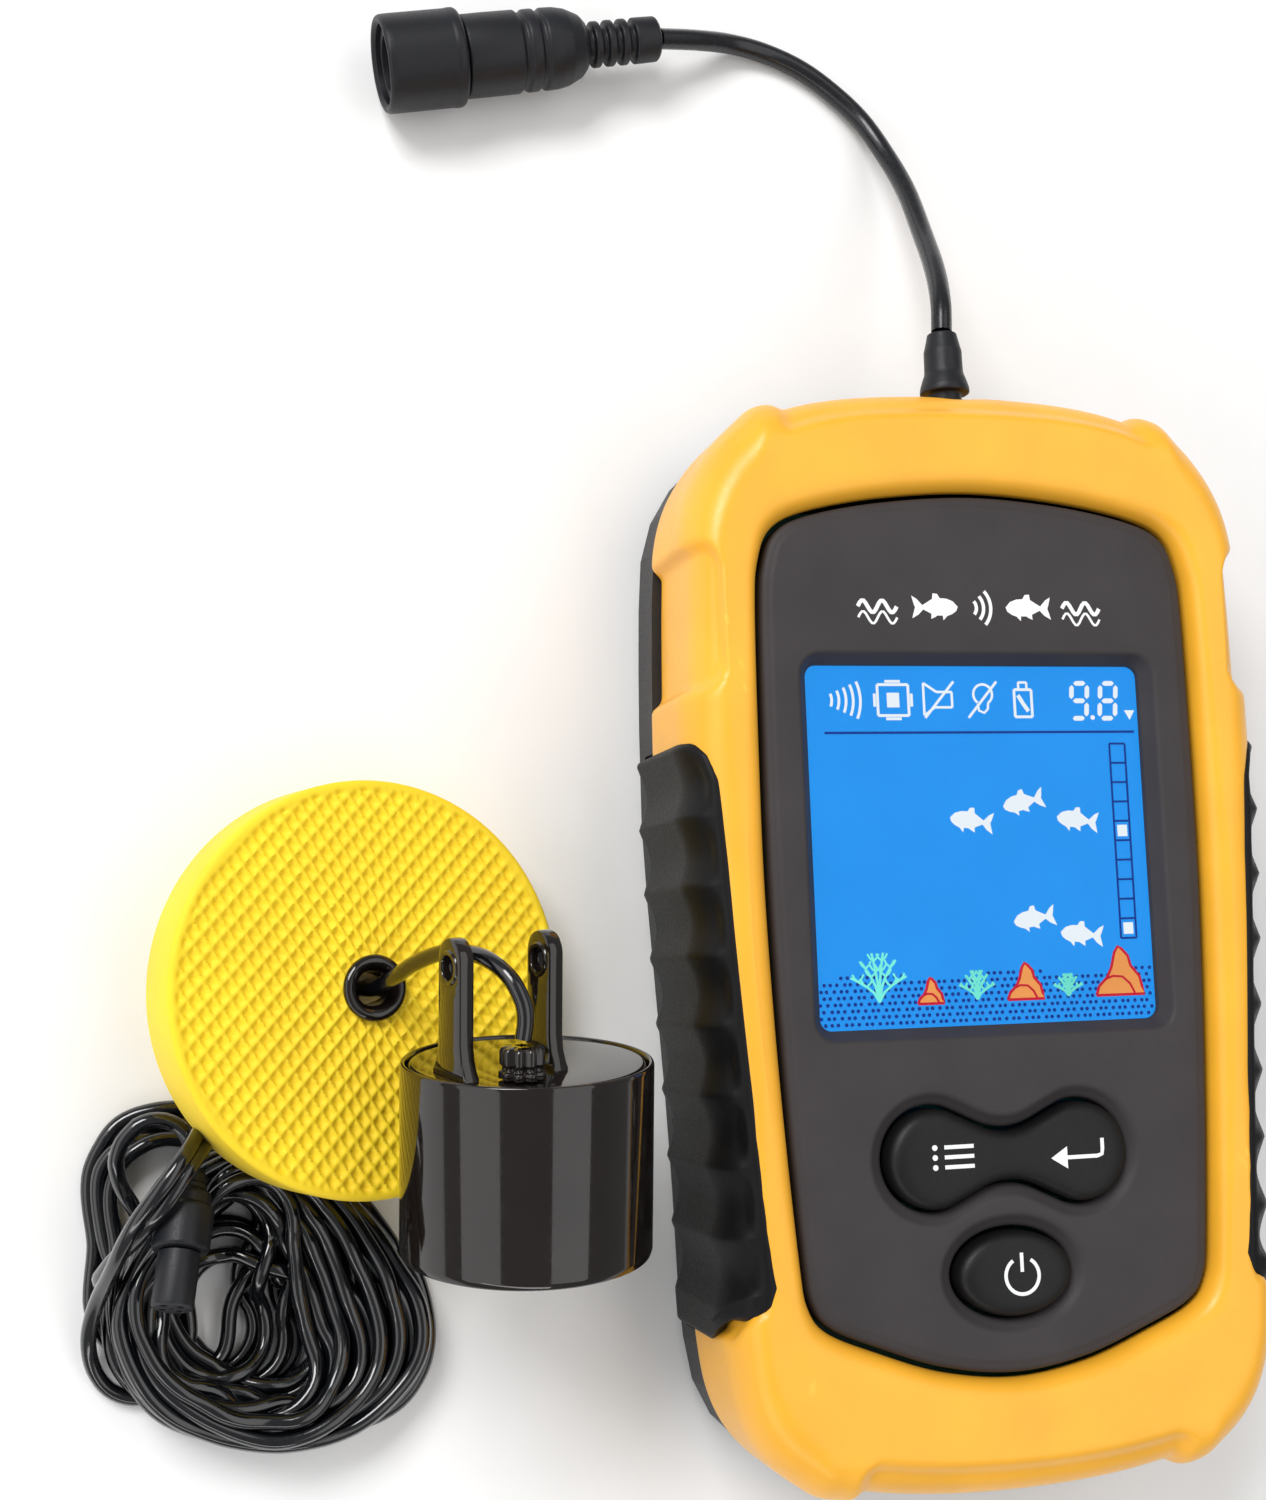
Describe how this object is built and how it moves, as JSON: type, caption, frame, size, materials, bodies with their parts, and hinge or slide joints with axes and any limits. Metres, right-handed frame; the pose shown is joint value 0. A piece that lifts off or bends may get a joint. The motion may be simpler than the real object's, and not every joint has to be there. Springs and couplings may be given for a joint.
{
  "type": "handheld fish finder with wired sonar transducer",
  "caption": "Handheld fish finder in a yellow bumper with side grips, display, keys and pigtail socket, with a wired puck transducer, disc float, cable bundle and plug.",
  "frame": {"origin": "centre of the handheld's flat back face, on the table that every loose piece lies on", "axes": "+Z out of the display, away from the table; +Y towards the cable end of the handheld; +X to the right of the display"},
  "size_m": [0.1449, 0.1909, 0.0429],
  "materials": {
    "bumper": "semi-gloss yellow bumper",
    "back_shell": "matte black",
    "front_panel": "satin charcoal",
    "grip": "ribbed black rubber",
    "seal": "rubber cord seal",
    "lens": "clear window",
    "lcd": "blue backlit display",
    "backlight": "white light guide",
    "board": "green circuit board",
    "key": "black silicone rubber",
    "steel": "spring steel",
    "chip": "black package",
    "coil": "varnished winding",
    "brass": "plated spring contact",
    "cord_rubber": "smooth black PVC",
    "connector": "moulded black PVC",
    "foam": "closed-cell foam, diamond pattern",
    "gloss_black": "high gloss black",
    "ceramic": "ceramic with silvered faces",
    "cork": "cork and rubber backing",
    "cell": "metallic sleeve"
  },
  "bodies": {
    "handheld": {"yellow_bumper": "bumper", "back_shell": "back_shell", "front_panel": "front_panel", "grip_left": "grip", "grip_right": "grip", "case_seal": "seal", "window_lens": "lens", "lcd_panel": "lcd", "backlight": "backlight", "main_board": "board", "dome_left": "steel", "dome_right": "steel", "dome_power": "steel", "sonar_chip": "chip", "pulse_coil": "coil", "buzzer": "chip", "contacts_foot": "brass", "contacts_head": "brass", "battery_cell_1": "cell", "battery_cell_2": "cell", "battery_cell_3": "cell", "battery_cell_4": "cell", "case_screw_1": "steel", "case_screw_2": "steel", "case_screw_3": "steel", "case_screw_4": "steel", "cable_boot": "cord_rubber", "pigtail_cable": "cord_rubber", "socket_body": "connector", "socket_insert": "brass"},
    "rocker_key": {"rocker_key": "key"},
    "power_key": {"power_key": "key"},
    "battery_door": {"battery_door": "back_shell"},
    "socket_collar": {"socket_collar": "connector"},
    "sonar_set": {"transducer_cup": "gloss_black", "transducer_cap": "gloss_black", "piezo_disc": "ceramic", "acoustic_backing": "cork", "potting": "coil", "lead_relief": "cord_rubber", "sonar_lead": "cord_rubber", "lead_tail": "cord_rubber", "lead_hank": "cord_rubber", "plug_body": "connector", "plug_insert": "chip"},
    "float": {"float_disc": "foam", "grommet_front": "seal", "grommet_back": "seal"}
  },
  "joints": [
    {"name": "rocker_tilt", "type": "hinge", "parent": "handheld", "child": "rocker_key", "pos_m": [0, -0.0277, 0.0255], "axis": [0, 1, 0], "range_deg": [-4, 4], "stiffness_Nm_per_rad": 0.2},
    {"name": "power_press", "type": "slide", "parent": "handheld", "child": "power_key", "axis": [0, 0, -1], "range_m": [0, 0.0008], "stiffness_N_per_m": 300, "springref_m": -0.0005},
    {"name": "battery_door_slide", "type": "slide", "parent": "handheld", "child": "battery_door", "axis": [0, -1, 0], "range_m": [0, 0.056]},
    {"name": "socket_collar_spin", "type": "hinge", "parent": "handheld", "child": "socket_collar", "pos_m": [-0.0636, 0.1134, 0.0062], "axis": [-0.9843, -0.1762, 0], "continuous": true},
    {"name": "sonar_set_lift", "type": "slide", "parent": "handheld", "child": "sonar_set", "axis": [0, 0, 1], "range_m": [0, 0.15]},
    {"name": "float_spin", "type": "hinge", "parent": "sonar_set", "child": "float", "pos_m": [-0.0758, -0.0054, 0.0068], "axis": [0.2756, 0, 0.9613], "continuous": true}
  ]
}
